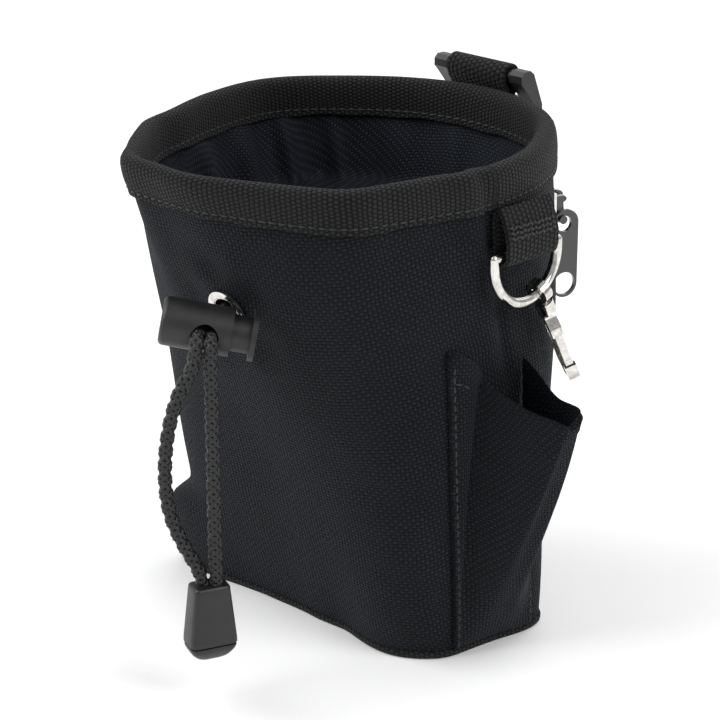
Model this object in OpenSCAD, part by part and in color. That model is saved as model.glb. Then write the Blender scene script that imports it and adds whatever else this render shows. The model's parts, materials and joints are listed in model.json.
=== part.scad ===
// Treat pouch: drawstring bag with a side pocket, a zip, a swivel snap, a cord lock and a belt clip.
// Millimetres, +Z up, front towards -Y, right side towards +X, foot on z = 0.

/* [Bag] */
// Height of the rim above the floor
rim_h = 150; // [120:1:185]
// Width of the mouth, side to side
mouth_w = 116; // [100:1:140]
// Depth of the mouth, front to back
mouth_d = 130; // [108:1:150]
// How far the middle of the mouth stands in front of the middle of the foot
mouth_forward = 13; // [6:1:20]
// Width of the foot
foot_w = 100; // [84:1:120]
// Depth of the foot
foot_d = 49; // [41:1:59]
// Thickness of the outer cloth
cloth_t = 1.6; // [1.2:0.1:2]
// Thickness of the lining
lining_t = 0.8; // [0.5:0.1:1.2]

/* [Edges] */
// Height of the folded tape at the rim
rim_tape_h = 12; // [8:0.5:14]
// Thickness of the folded tape
tape_t = 1; // [0.7:0.1:1.3]
// Height of the hem round the foot
foot_hem_h = 7; // [4:0.5:9]

/* [Side pocket] */
// Height of the pocket where it is sewn to the side
pocket_h = 99; // [85:1:105]
// How much lower its open edge is in the middle
pocket_dip = 20; // [10:1:30]
// How far its open edge stands off the bag
pocket_gape = 25; // [14:1:28]

/* [Cord] */
// Diameter of the braided cord
cord_d = 3.6; // [3:0.1:4]
// Height of the eyelet
eyelet_z = 108; // [100:1:116]
// Distance of the eyelet from the middle of the front
eyelet_x = 5; // [-4:0.5:8]
// Inner diameter of the eyelet
eyelet_bore = 9.2; // [8.6:0.1:10]

/* [Cord lock] */
// Outer diameter of the barrel
lock_d = 13.5; // [13:0.1:15]
// Length of the barrel
lock_len = 19.5; // [19.5:0.1:22]
// Diameter of the cord hole
lock_hole = 7.8; // [7.6:0.1:8]
// Diameter of the push button's shaft
plunger_d = 10.2; // [10:0.1:10.5]
// Travel of the push button
plunger_travel = 3; // [2:0.1:3.2]

/* [Cord end] */
// Height of the moulded cord end without its cap
cord_end_h = 18; // [16:0.5:20]
// Width of the cord end at its foot
cord_end_w = 14; // [13:0.5:16]

/* [Ring and snap] */
// Inner width of the D-ring
ring_inner = 23.5; // [23:0.5:26]
// Wire diameter of the D-ring
ring_wire = 3; // [2.6:0.1:3.4]
// Width of the webbing the D-ring hangs in
dtab_w = 21.5; // [19:0.5:22]
// Length of the snap below its collar
snap_len = 25.5; // [24.5:0.5:27]

/* [Zip] */
// Height of the zip above the floor
zip_z = 121; // [118:0.5:123]
// Half of the angle the zip spans round the back
zip_half_a = 25; // [20:1:27]
// Length of the pull plate
pull_len = 28; // [22:0.5:30]
// Width of the pull plate
pull_w = 8.8; // [8:0.1:9.5]
// Length of the link between the slider and the pull plate
link_len = 7.3; // [6:0.1:9]

/* [Belt clip] */
// Width of the clip
clip_w = 36; // [33:0.5:42]
// Width of the webbing that holds the clip
clip_tab_w = 24; // [20:0.5:26]
// Height of the clip's hinge bar above the rim
clip_rise = 4.2; // [4.2:0.1:8]
// Gap of the clip, the belt goes in here
belt_gap = 4.6; // [4.4:0.1:6]

/* [Hidden] */
$fn = 72;
eps = 0.05;
fit_r = 0.05;
soft_gap = 0.3;

// shape of the cloth body
foot_square = 5;
mouth_square = 2;
col_step = 5;
back_seam_a = 40;
seam_gap_a = 0.05;
panel_top = rim_h - tape_t - 0.15;
tape_low = rim_h - rim_tape_h;
panel_rows = [0, foot_hem_h, 25, 50, 75, 100, 120, tape_low, panel_top];
lining_top_o = -cloth_t - soft_gap;
channel_o = lining_top_o - 6;
channel_half = 4;
channel_slope = 7;

// zip, drawn round an upright axis behind the middle of the bag
zip_cy = -18.4;
zip_tape_w = 7;
zip_clear = 0.265;
zip_back = [for (i = [0:5]) let (a = zip_half_a * i / 5) for (z = [zip_z - zip_tape_w - 1, zip_z, zip_z + zip_tape_w + 2])
    for (p = [skin(90 + a, z, 0)]) norm([p[0], p[1] - zip_cy])];
zip_stack_r = max(zip_back) + zip_clear;
plate_t = 0.9;
zip_tape_r = zip_stack_r + plate_t + 0.35;
zip_tape_t = 0.5;
coil_t = 1.3;
coil_r = zip_tape_r + zip_tape_t + 0.02;
slider_top_r = coil_r + coil_t + 0.2;
crown_r = slider_top_r + plate_t + 4;
crown_bar_d = 1.6;
slider_a = 90 - zip_half_a + 6;
slider_len = 10;
slider_w = 8;
coil_w = 1.5;
coil_gap = 1.2;
pull_t = 1.2;
pull_eye_d = 5;

// D-ring
ring_r = (ring_inner + ring_wire) / 2;
ring_drop = 2;
ring_z = rim_h - rim_tape_h - 13;
ring_y = -2.2;
web_t = 1.5;
ring_clear = 0.51;
ring_x = half_w(tape_low) + ring_clear + web_t + ring_wire / 2 + 0.1;
snap_a = 28;
snap_turn = -33;
eye_bore_r = ring_wire / 2 + 0.25;
eye_wall = 1.9;
eye_t = 3;
stem_d = 2.4;
stem_head_d = 3.8;
collar_d = 5.4;
collar_len = 4.2;
snap_t = 3.4;
gate_t = 2.2;
pin_d = 1.4;

// eyelet and lock
front_slope = atan((mouth_forward + (mouth_d - foot_d) / 2) / rim_h);
eyelet_y = -mouth_forward * eyelet_z / rim_h - (foot_d + (mouth_d - foot_d) * eyelet_z / rim_h) / 2;
eyelet_wall = 0.8;
eyelet_flange = 2.4;
washer_clear = 0.387;
washer_edge = eyelet_x + eyelet_bore / 2 + eyelet_flange;
cloth_drop = (half_d(eyelet_z) - cloth_t)
    * (1 - pow(1 - pow(washer_edge / (half_w(eyelet_z) - cloth_t), square(eyelet_z)), 1 / square(eyelet_z)));
washer_depth = (cloth_t + cloth_drop) * cos(front_slope) + washer_clear;
lock_at = [eyelet_x + 8.5, eyelet_y - 16, eyelet_z + 1.5];
lock_turn = [8, 11, 44.7];
lock_to_open = 7.1;
lock_end_wall = 1.5;
plunger_wall = 2;
spring_wire = 0.45;
cord_clear = 0.2;
strand_x = lock_hole / 2 - cord_d / 2 - cord_clear;

// cord end hangs from the front of the lock
hang_turn = 44.7;
hang_out = lock_d / 2 + 2.2;
cord_end_top = 37;
strand_rows = [0, 4, 9, 13, 22, 32, 42, 50, 57, 62, 66, 70];
strand_bow = [0, 0.6, 2, 4.5, 7.5, 9.2, 9.4, 8.2, 5.6, 3, 1, 0];

// belt clip
clip_y = mouth_d / 2 - mouth_forward + tape_t + web_t;
clip_z = rim_h + clip_rise;
clip_bar_d = 4.6;
clip_x = -7;
clip_t = 2;
clip_drop = 27.5;

cloth_c = [0.16, 0.17, 0.18];
web_c = [0.12, 0.12, 0.13];
lining_c = [0.10, 0.11, 0.14];
plastic_c = [0.20, 0.20, 0.21];
metal_c = [0.75, 0.75, 0.76];
cord_c = [0.08, 0.08, 0.09];

function half_w(z) = (foot_w + (mouth_w - foot_w) * z / rim_h) / 2;
function half_d(z) = (foot_d + (mouth_d - foot_d) * z / rim_h) / 2;
function mid_y(z) = -mouth_forward * z / rim_h;
function square(z) = foot_square + (mouth_square - foot_square) * z / rim_h;
function reach(a, z, o) =
    pow(pow(abs(cos(a)) / (half_w(z) + o), square(z)) + pow(abs(sin(a)) / (half_d(z) + o), square(z)),
        -1 / square(z));
// a point of the cloth at angle a and height z, o outside the outer face
function skin(a, z, o) = [reach(a, z, o) * cos(a), mid_y(z) + reach(a, z, o) * sin(a), z];

// closed solid between two grids of points, outer and inner, rows upwards and columns anticlockwise
module slab(outer, inner, wrap) {
    rows = len(outer);
    cols = len(outer[0]);
    n = rows * cols;
    last = wrap ? cols - 1 : cols - 2;
    points = concat([for (r = outer) for (p = r) p], [for (r = inner) for (p = r) p]);
    skin_faces = [for (i = [0:rows - 2]) for (j = [0:last])
        let (k = (j + 1) % cols, a = i * cols + j, b = a + cols, c = (i + 1) * cols + k, d = i * cols + k)
        each [[a, b, c], [a, c, d], [n + a, n + c, n + b], [n + a, n + d, n + c]]];
    edge_faces = [for (j = [0:last])
        let (k = (j + 1) % cols, a = (rows - 1) * cols + j, b = (rows - 1) * cols + k)
        each [[a, n + a, n + b], [a, n + b, b], [j, n + k, n + j], [j, k, n + k]]];
    end_faces = wrap ? [] : [for (i = [0:rows - 2])
        let (a = i * cols, b = a + cols, c = a + cols - 1, d = b + cols - 1)
        each [[n + a, n + b, b], [n + a, b, a], [n + c, d, n + d], [n + c, c, d]]];
    polyhedron(points = points, faces = concat(skin_faces, edge_faces, end_faces), convexity = 10);
}

// tub: walls as slab, closed at the foot by two caps
module tub(outer, inner) {
    rows = len(outer);
    cols = len(outer[0]);
    n = rows * cols;
    foot = [[0, 0, outer[0][0][2]], [0, 0, inner[0][0][2]]];
    points = concat([for (r = outer) for (p = r) p], [for (r = inner) for (p = r) p], foot);
    skin_faces = [for (i = [0:rows - 2]) for (j = [0:cols - 1])
        let (k = (j + 1) % cols, a = i * cols + j, b = a + cols, c = (i + 1) * cols + k, d = i * cols + k)
        each [[a, b, c], [a, c, d], [n + a, n + c, n + b], [n + a, n + d, n + c]]];
    edge_faces = [for (j = [0:cols - 1])
        let (k = (j + 1) % cols, a = (rows - 1) * cols + j, b = (rows - 1) * cols + k)
        each [[a, n + a, n + b], [a, n + b, b], [j, k, 2 * n], [n + j, 2 * n + 1, n + k]]];
    polyhedron(points = points, faces = concat(skin_faces, edge_faces), convexity = 10);
}

// band with a closed cross-section that runs all the way round; section rows go anticlockwise
module band(section) {
    rows = len(section);
    cols = len(section[0]);
    points = [for (r = section) for (p = r) p];
    faces = [for (i = [0:rows - 1]) for (j = [0:cols - 1])
        let (k = (j + 1) % cols, m = (i + 1) % rows)
        each [[i * cols + j, m * cols + j, m * cols + k], [i * cols + j, m * cols + k, i * cols + k]]];
    polyhedron(points = points, faces = faces, convexity = 10);
}

function unit(v) = v / norm(v);
// round tube through a list of points
module tube(path, d, sides) {
    n = len(path);
    tang = [for (i = [0:n - 1]) unit(path[min(i + 1, n - 1)] - path[max(i - 1, 0)])];
    up = abs(tang[0][2]) > 0.6 ? [1, 0.3, 0] : [0, 0, 1];
    points = [for (i = [0:n - 1]) let (u = unit(cross(tang[i], up)), v = cross(tang[i], u))
        each [for (j = [0:sides - 1]) path[i] + d / 2 * (cos(360 * j / sides) * u + sin(360 * j / sides) * v)]];
    walls = [for (i = [0:n - 2]) for (j = [0:sides - 1])
        let (k = (j + 1) % sides, a = i * sides + j, b = a + sides, c = (i + 1) * sides + k, e = i * sides + k)
        each [[a, c, b], [a, e, c]]];
    caps = concat([[for (j = [sides - 1:-1:0]) j]], [[for (j = [0:sides - 1]) (n - 1) * sides + j]]);
    polyhedron(points = points, faces = concat(walls, caps), convexity = 10);
}

function ring_cols() = [for (a = [0:col_step:359]) a];
function span_cols(a, b) = concat([a + seam_gap_a], [for (c = [a + col_step:col_step:b - 1]) c], [b - seam_gap_a]);
front_cols = span_cols(180 - back_seam_a, 360 + back_seam_a);
back_cols = span_cols(back_seam_a, 180 - back_seam_a);
function sheet(rows, cols, o) = [for (z = rows) [for (a = cols) skin(a, z, o)]];

module front_panel() color(cloth_c) difference() {
    slab(sheet(panel_rows, front_cols, 0), sheet(panel_rows, front_cols, -cloth_t), false);
    at_eyelet() translate([0, 0, -cloth_t * 3]) cylinder(d = eyelet_bore + 2 * eyelet_wall + 0.2, h = cloth_t * 6);
}

module back_panel() color(cloth_c)
    slab(sheet(panel_rows, back_cols, 0), sheet(panel_rows, back_cols, -cloth_t), false);

module base_panel() color(cloth_c) linear_extrude(cloth_t)
    polygon([for (a = ring_cols()) let (p = skin(a, 0, -cloth_t - 0.2)) [p[0], p[1]]]);

lining_rows = [[cloth_t + eps, lining_top_o - 0.5], [25, lining_top_o - 0.5], [50, lining_top_o - 0.5],
    [75, lining_top_o - 0.5], [eyelet_z - channel_half - channel_slope, lining_top_o - 0.5],
    [eyelet_z - channel_half, channel_o], [eyelet_z + channel_half, channel_o],
    [eyelet_z + channel_half + channel_slope, lining_top_o - 0.4], [tape_low, lining_top_o],
    [panel_top, lining_top_o]];

module lining() color(lining_c)
    tub([for (r = lining_rows) [for (a = ring_cols()) skin(a, r[0], r[1])]],
        [for (i = [0:len(lining_rows) - 1]) let (r = lining_rows[i]) [for (a = ring_cols())
            skin(a, r[0] + (i == 0 ? lining_t : 0), r[1] - lining_t)]]);

rim_in = lining_top_o - lining_t - 0.2;
rim_section = [[rim_in - tape_t, tape_low], [rim_in - tape_t, rim_h - 1.2], [rim_in - tape_t + 0.6, rim_h - 0.2],
    [-1.4, rim_h], [0.3, rim_h - 0.2], [0.1 + tape_t, rim_h - 1.2], [0.1 + tape_t, tape_low], [0.1, tape_low],
    [0.1, rim_h - tape_t - 0.05], [rim_in, rim_h - tape_t - 0.05], [rim_in, tape_low]];
foot_section = [[0.1, 0], [0.1, foot_hem_h], [0.1 + tape_t, foot_hem_h], [0.1 + tape_t, 0]];

module rim_binding() color(web_c) band([for (s = rim_section) [for (a = ring_cols()) skin(a, s[1], s[0])]]);
module base_binding() color(web_c) band([for (s = foot_section) [for (a = ring_cols()) skin(a, s[1], s[0])]]);

pocket_a0 = -19;
pocket_a1 = 12.5;
pocket_low = foot_hem_h + 0.3;
pocket_cols = [for (i = [0:16]) i / 16];
pocket_ups = [0, 0.14, 0.28, 0.42, 0.56, 0.7, 0.85, 1];
function pocket_top(s) = pocket_h - pocket_dip * sin(180 * pow(s, 1.25));
function pocket_off(s, t) = 0.35 + pocket_gape * sin(180 * pow(s, 1.45)) * pow(t, 1.5);
function pocket_pt(s, t, o) =
    skin(pocket_a0 + (pocket_a1 - pocket_a0) * s, pocket_low + (pocket_top(s) - pocket_low) * t, pocket_off(s, t) + o);

module side_pocket() color(cloth_c)
    slab([for (t = pocket_ups) [for (s = pocket_cols) pocket_pt(s, t, cloth_t)]],
        [for (t = pocket_ups) [for (s = pocket_cols) pocket_pt(s, t, 0)]], false);

// the zip is drawn as if its middle faced +X and then turned to its place
module at_zip(a) translate([0, zip_cy, zip_z]) rotate([0, 0, a]) children();
module zip_arc(r, t, z0, z1) at_zip(90 - zip_half_a) rotate_extrude(angle = 2 * zip_half_a)
    translate([r, z0]) square([t, z1 - z0]);

module zip_tape_upper() color(web_c) zip_arc(zip_tape_r, zip_tape_t, coil_gap / 2, zip_tape_w);
module zip_tape_lower() color(web_c) zip_arc(zip_tape_r, zip_tape_t, -zip_tape_w, -coil_gap / 2);
module zip_coil_upper() color(plastic_c) zip_arc(coil_r, coil_t, coil_gap / 2, coil_gap / 2 + coil_w);
module zip_coil_lower() color(plastic_c) zip_arc(coil_r, coil_t, -coil_gap / 2 - coil_w, -coil_gap / 2);

stop_a = 1.2;
module zip_stop(a) color(metal_c) at_zip(a) rotate_extrude(angle = stop_a)
    translate([coil_r + coil_t + 0.02, -3]) square([0.8, 6]);
module zip_stop_left() zip_stop(90 + zip_half_a - stop_a);
module zip_stop_right() zip_stop(90 - zip_half_a);

// strip above the zip and the pocket panel below it; both carry a tape and follow the curve of the zip
facing_t = 1;
facing_r0 = zip_tape_r - facing_t - 0.1;
facing_z = slider_w / 2 + 0.6;
module zip_facing() color(cloth_c) zip_arc(facing_r0, facing_t, facing_z, zip_tape_w + 2);

pouch_rows = [30, 50, 75, 95];
pouch_t = 1.5;
pouch_cols = [for (i = [0:16]) i / 16];
arc_rows = [zip_z - zip_tape_w - 3, zip_z - facing_z];
function arc_pt(s, r, z) = let (a = 90 - zip_half_a + 2 * zip_half_a * s) [r * cos(a), zip_cy + r * sin(a), z];
function pouch_grid(o, r) = concat([for (z = pouch_rows) [for (s = pouch_cols) skin(60 + 60 * s, z, o)]],
    [for (z = arc_rows) [for (s = pouch_cols) arc_pt(s, r, z)]]);
module zip_pocket_panel() color(cloth_c)
    slab(pouch_grid(0.35 + pouch_t, facing_r0 + facing_t), pouch_grid(0.35, facing_r0), false);

// slider: two plates, a post between the teeth and a crown that carries the pull
module slider_plate(r, t) translate([r, -slider_len / 2, -slider_w / 2]) cube([t, slider_len, slider_w]);
module zip_slider() color(plastic_c) at_zip(slider_a) {
    slider_plate(zip_stack_r, plate_t);
    slider_plate(slider_top_r, plate_t);
    translate([zip_stack_r + 0.1, -slider_len / 2, -coil_gap / 4]) cube([slider_top_r - zip_stack_r, 2, coil_gap / 2]);
    for (s = [-1, 1]) translate([slider_top_r + 0.1, s * 3.4 - 0.8, -1]) cube([crown_r - slider_top_r, 1.6, 2]);
    translate([crown_r, 4.2, 0]) rotate([90, 0, 0]) cylinder(d = crown_bar_d, h = 8.4);
}

// link: an eye round the crown bar and a headed pin that the pull plate hangs on, drawn in the plane it swings in
module in_swing(t0, t) at_zip(slider_a) rotate([90, 0, 0]) translate([0, 0, t0]) linear_extrude(t) children();
link_w = 3.4;
link_t = 1.2;
link_pin_d = 1.6;
link_x = crown_r + 0.9;
pull_x = crown_r + 2.2;
pull_eye = [link_x + 0.7, -link_len - 1.5];
pull_low = pull_eye[1] - pull_len + pull_w;
module zip_link() color(plastic_c) {
    in_swing(-link_t / 2, link_t) difference() {
        union() {
            translate([crown_r, 0]) circle(d = link_w);
            translate([link_x, -link_len]) circle(d = link_w - 0.6);
            polygon([[crown_r - link_w / 2, 0], [crown_r + link_w / 2, 0], [link_x + link_w / 2 - 0.3, -link_len],
                [link_x - link_w / 2 + 0.3, -link_len]]);
        }
        translate([crown_r, 0]) circle(r = crown_bar_d / 2 + fit_r);
    }
    in_swing(link_t / 2 - eps, pull_t + 0.5) translate([link_x, -link_len]) circle(d = link_pin_d);
    in_swing(link_t / 2 + pull_t + 0.35, 0.6) translate([link_x, -link_len]) circle(d = link_pin_d + 1);
}
module zip_pull() color(plastic_c) in_swing(link_t / 2 + 0.15, pull_t) difference() {
    union() {
        translate([pull_x, pull_eye[1]]) circle(d = pull_w);
        translate([pull_x - pull_w / 2, pull_low]) square([pull_w, pull_eye[1] - pull_low]);
        translate([pull_x, pull_low]) circle(d = pull_w);
    }
    translate(pull_eye) circle(d = pull_eye_d);
    translate([pull_x, pull_low]) circle(d = pull_w - 1.6);
}

// webbing loop that carries the D-ring: two legs on the side of the bag and a round fold under the bar
dtab_in_r = ring_wire / 2 + 0.1;
dtab_top = tape_low - 0.3;
module dring_tab() color(web_c) translate([ring_x, ring_y + dtab_w / 2, ring_z]) rotate([90, 0, 0])
    linear_extrude(dtab_w) {
        difference() {
            circle(r = dtab_in_r + web_t);
            circle(r = dtab_in_r);
            translate([-10, 0]) square([20, 10]);
        }
        translate([dtab_in_r, -eps]) square([web_t, dtab_top - ring_z - 4]);
        translate([-dtab_in_r - web_t, -eps]) square([web_t, dtab_top - ring_z]);
        polygon([[dtab_in_r, dtab_top - ring_z - 4.2], [dtab_in_r + web_t, dtab_top - ring_z - 4.2],
            [-dtab_in_r + web_t, dtab_top - ring_z], [-dtab_in_r - 0.1, dtab_top - ring_z]]);
    }

module at_ring() translate([ring_x, ring_y, ring_z]) children();
module d_ring() color(metal_c) at_ring() {
    rotate([90, 0, 0]) cylinder(d = ring_wire, h = 2 * ring_r, center = true);
    for (s = [-1, 1]) translate([0, s * ring_r, 0]) {
        sphere(d = ring_wire);
        translate([0, 0, -ring_drop]) cylinder(d = ring_wire, h = ring_drop);
    }
    translate([0, 0, -ring_drop]) rotate([0, 90, 0]) rotate([0, 0, -90])
        rotate_extrude(angle = 180) translate([ring_r, 0]) circle(d = ring_wire);
}

// the snap hangs from the ring; its own frame has the ring wire at the origin and points down -Z
module at_snap() at_ring() translate([0, ring_r * sin(snap_a), -ring_drop - ring_r * cos(snap_a)])
    rotate([snap_a, 0, 0]) children();
stem_low = -eye_bore_r - eye_wall;
collar_top = stem_low - 0.3;
body_top = collar_top - collar_len;
module snap_eye() color(metal_c) at_snap() difference() {
    union() {
        rotate([90, 0, 0]) cylinder(r = eye_bore_r + eye_wall, h = eye_t, center = true);
        translate([0, 0, collar_top - 3]) cylinder(d = stem_d, h = 3 + collar_top - stem_low + 0.9 + 0.3);
        translate([0, 0, collar_top - 3]) cylinder(d = stem_head_d, h = 1.2);
    }
    rotate([90, 0, 0]) cylinder(r = eye_bore_r, h = eye_t * 2, center = true);
}

hook_w = 10;
hook_bar = 2;
hook_r = hook_w / 2;
hook_in_r = hook_r - hook_bar;
hook_low = -snap_len + hook_r;
gate_gap = 0.25;
gate_x = 3.1;
gate_z = 4.2;
module snap_body() color(metal_c) at_snap() rotate([0, 0, snap_turn]) difference() {
    union() {
        translate([0, 0, body_top]) cylinder(d = collar_d, h = collar_len);
        translate([0, snap_t / 2, body_top]) rotate([90, 0, 0]) linear_extrude(snap_t) {
            translate([-2.7, -4]) square([5.4, 4.2]);
            translate([-hook_r, hook_low]) square([hook_bar, -hook_low - 3]);
            polygon([[-hook_r, -3.2], [-2.7, -0.5], [2.7, -0.5], [hook_r, -3.2], [hook_r, -6], [-hook_r, -6]]);
            difference() {
                translate([0, hook_low]) circle(r = hook_r);
                translate([0, hook_low]) circle(r = hook_in_r);
                translate([-hook_r, hook_low]) square([hook_w, hook_r]);
            }
            translate([hook_in_r, hook_low - 0.1]) square([hook_bar, 2.6]);
        }
    }
    // seat of the swivel stem
    translate([0, 0, collar_top - 3 - fit_r]) cylinder(d = stem_head_d + 2 * fit_r, h = 1.2 + 2 * fit_r);
    translate([0, 0, collar_top - 2]) cylinder(d = stem_d + 2 * fit_r, h = 4);
    // slot and cross hole of the gate
    translate([1.4, -gate_t / 2 - 0.1, body_top - 9]) cube([6, gate_t + 0.2, 6.4]);
    translate([gate_x, 5, body_top - gate_z]) rotate([90, 0, 0]) cylinder(d = pin_d, h = 10);
}

gate_len = -hook_low - 2.5 - gate_z - gate_gap;
module snap_gate() color(metal_c) at_snap() rotate([0, 0, snap_turn])
    translate([gate_x, gate_t / 2, body_top - gate_z]) rotate([90, 0, 0]) linear_extrude(gate_t) difference() {
        union() {
            circle(d = 2.8);
            translate([0, -gate_len]) square([1.4, gate_len]);
        }
        circle(r = pin_d / 2 + fit_r);
    }

module snap_pin() color(metal_c) at_snap() rotate([0, 0, snap_turn]) translate([gate_x, snap_t / 2, body_top - gate_z])
    rotate([90, 0, 0]) cylinder(d = pin_d - 0.02, h = snap_t);

// flanged eyelet, its axis square to the front cloth
module at_eyelet() translate([eyelet_x, eyelet_y, eyelet_z]) rotate([90 + front_slope, 0, 0]) children();
eyelet_r = eyelet_bore / 2 + eyelet_wall;
module eyelet() color(metal_c) at_eyelet() rotate_extrude() difference() {
    union() {
        translate([eyelet_bore / 2, -washer_depth - 1]) square([eyelet_wall, washer_depth + 1.6]);
        translate([eyelet_bore / 2 + 0.5, 0.12]) square([eyelet_flange - 0.5, 0.7]);
        translate([eyelet_bore / 2 + 0.6, 0.5]) circle(d = 0.9);
        translate([eyelet_bore / 2 + 0.5, -washer_depth - 1]) square([1, 0.4]);
    }
    square([eyelet_bore, 20], center = true);
}
module eyelet_washer() color(metal_c) at_eyelet() translate([0, 0, -washer_depth - 0.45]) difference() {
    cylinder(d = eyelet_bore + 2 * eyelet_flange, h = 0.4);
    translate([0, 0, -1]) cylinder(r = eyelet_r + 0.03, h = 3);
}

module at_lock() translate(lock_at) rotate(lock_turn) children();
function turn_x(p, a) = [p[0], p[1] * cos(a) - p[2] * sin(a), p[1] * sin(a) + p[2] * cos(a)];
function turn_y(p, a) = [p[0] * cos(a) + p[2] * sin(a), p[1], -p[0] * sin(a) + p[2] * cos(a)];
function turn_z(p, a) = [p[0] * cos(a) - p[1] * sin(a), p[0] * sin(a) + p[1] * cos(a), p[2]];
function lock_pt(p) = lock_at + turn_z(turn_y(turn_x(p, lock_turn[0]), lock_turn[1]), lock_turn[2]);

// the cord comes from the lock through the eyelet, runs once round the channel and comes back
cord_o = channel_o + cord_d / 2 + 0.4;
function eyelet_pt(x, out) = [eyelet_x + x, eyelet_y - out * cos(front_slope), eyelet_z - out * sin(front_slope)];
function lock_side(s) = [for (y = [-lock_d / 2, 0, lock_d / 2, lock_d / 2 + 1.5]) lock_pt([s * strand_x, y, 0])];
cord_side = strand_x + 0.05;
function eyelet_side(s) = [eyelet_pt(s * cord_side, 2.6), eyelet_pt(s * cord_side, 0.4),
    eyelet_pt(s * cord_side, -2.6), eyelet_pt(s * 2.6, -4.3), eyelet_pt(s * 4.2, -5.3)];
function back_to_front(v) = [for (i = [len(v) - 1:-1:0]) v[i]];
module draw_cord() color(cord_c)
    tube(concat(lock_side(-1), eyelet_side(-1), [for (a = [266:-6:-76]) skin(a, eyelet_z, cord_o)],
        back_to_front(eyelet_side(1)), back_to_front(lock_side(1))), cord_d, 8);

// lock: local +X towards the button, the cord hole through local Y
lock_back = lock_to_open - lock_len;
bore_r = plunger_d / 2 + fit_r;
module lock_barrel() color(plastic_c) at_lock() difference() {
    translate([lock_back, 0, 0]) rotate([0, 90, 0]) rotate_extrude() {
        translate([0, 1.4]) square([lock_d / 2, lock_len - 1.4]);
        translate([0, 0]) square([lock_d / 2 - 1.4, 2]);
        intersection() {
            translate([lock_d / 2 - 1.4, 1.4]) circle(r = 1.4);
            square([lock_d, 1.5]);
        }
    }
    translate([lock_back + lock_end_wall, 0, 0]) rotate([0, 90, 0]) cylinder(r = bore_r, h = lock_len);
    rotate([90, 0, 0]) cylinder(d = lock_hole, h = lock_d * 2, center = true);
}

plunger_in = -lock_hole / 2 - plunger_wall;
plunger_out = lock_to_open + plunger_travel + 2.4;
module lock_plunger() color(plastic_c) at_lock() {
    difference() {
        translate([plunger_in, 0, 0]) rotate([0, 90, 0]) cylinder(d = plunger_d, h = plunger_out - plunger_in);
        translate([-lock_hole / 2, -10, -lock_hole / 2]) cube([lock_hole + plunger_travel, 20, lock_hole]);
    }
    translate([plunger_out - 0.1, 0, 0]) rotate([0, 90, 0]) cylinder(d = lock_d + 0.4, h = 1.5);
}

spring_low = lock_back + lock_end_wall + spring_wire / 2 + 0.05;
spring_high = plunger_in - spring_wire / 2 - 0.05;
module lock_spring() color(metal_c) at_lock() tube([for (i = [0:44])
    [spring_low + (spring_high - spring_low) * i / 44, 3.4 * cos(i * 32), 3.4 * sin(i * 32)]], spring_wire, 6);

// the free ends of the cord hang from the front of the lock; the frame here is screen-wise: +X to the right
hang_at = lock_pt([0, -hang_out, 0]);
module at_hang() translate(hang_at) rotate([0, 0, hang_turn]) children();
strand_low = cord_end_top - hang_at[2] - 5;
strand_scale = -strand_low / 75;
module cord_strand_left() color(cord_c) at_hang()
    tube(concat([for (i = [0:len(strand_rows) - 1])
        [-strand_x - strand_bow[i], 0, -strand_rows[i] * strand_scale]], [[-strand_x, 0, strand_low]]), cord_d, 8);
module cord_strand_right() color(cord_c) at_hang()
    tube(concat([for (z = strand_rows) [strand_x, 0, -z * strand_scale]], [[strand_x, 0, strand_low]]), cord_d, 8);

// cord end: a tapered block with cut corners, open below, closed by a cap
end_d = 9;
end_top_w = 10.6;
end_top_d = 7.4;
function cut_block(w, d, c) = [[-w / 2, -d / 2 + c], [-w / 2 + c, -d / 2], [w / 2 - c, -d / 2], [w / 2, -d / 2 + c],
    [w / 2, d / 2 - c], [w / 2 - c, d / 2], [-w / 2 + c, d / 2], [-w / 2, d / 2 - c]];
function lift(pts, z) = [for (p = pts) [p[0], p[1], z]];
module block(low, high, z0, z1) {
    n = len(low);
    walls = [for (j = [0:n - 1]) let (k = (j + 1) % n) each [[j, n + j, n + k], [j, n + k, k]]];
    polyhedron(points = concat(lift(low, z0), lift(high, z1)),
        faces = concat(walls, [[for (j = [0:n - 1]) j]], [[for (j = [n - 1:-1:0]) n + j]]));
}
cavity_w = cord_end_w - 4.8;
cavity_d = 6;
end_top_z = cord_end_top - hang_at[2];
end_low_z = end_top_z - cord_end_h;
module cord_end() color(plastic_c) at_hang() difference() {
    block(cut_block(cord_end_w, end_d, 1.8), cut_block(end_top_w, end_top_d, 1.2), end_low_z, end_top_z);
    translate([-cavity_w / 2, -cavity_d / 2, end_low_z - 1]) cube([cavity_w, cavity_d, cord_end_h - 2]);
    for (s = [-1, 1]) translate([s * strand_x, 0, end_low_z]) cylinder(d = cord_d + 0.3, h = cord_end_h + 2);
}
cap_h = 3.6;
module cord_end_cap() color(plastic_c) at_hang() {
    block(cut_block(cord_end_w - 4.5, end_d - 3.5, 1.2), cut_block(cord_end_w, end_d, 1.8),
        end_low_z - cap_h - eps, end_low_z - eps);
    translate([-cavity_w / 2 + fit_r, -cavity_d / 2 + fit_r, end_low_z - eps - 0.1])
        cube([cavity_w - 2 * fit_r, cavity_d - 2 * fit_r, 3.1]);
}
module cord_knot() color(cord_c) at_hang() translate([0, 0, strand_low - 3])
    rotate([0, 90, 0]) cylinder(d = 5, h = cavity_w - 1, center = true);

// webbing loop at the back of the rim; its fold goes over the hinge bar of the clip
clip_in_r = clip_bar_d / 2 + 0.08;
clip_out_r = clip_in_r + web_t;
tab_low = rim_h - 8;
tab_mid = rim_h - 5;
tab_high = rim_h - 1;
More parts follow.
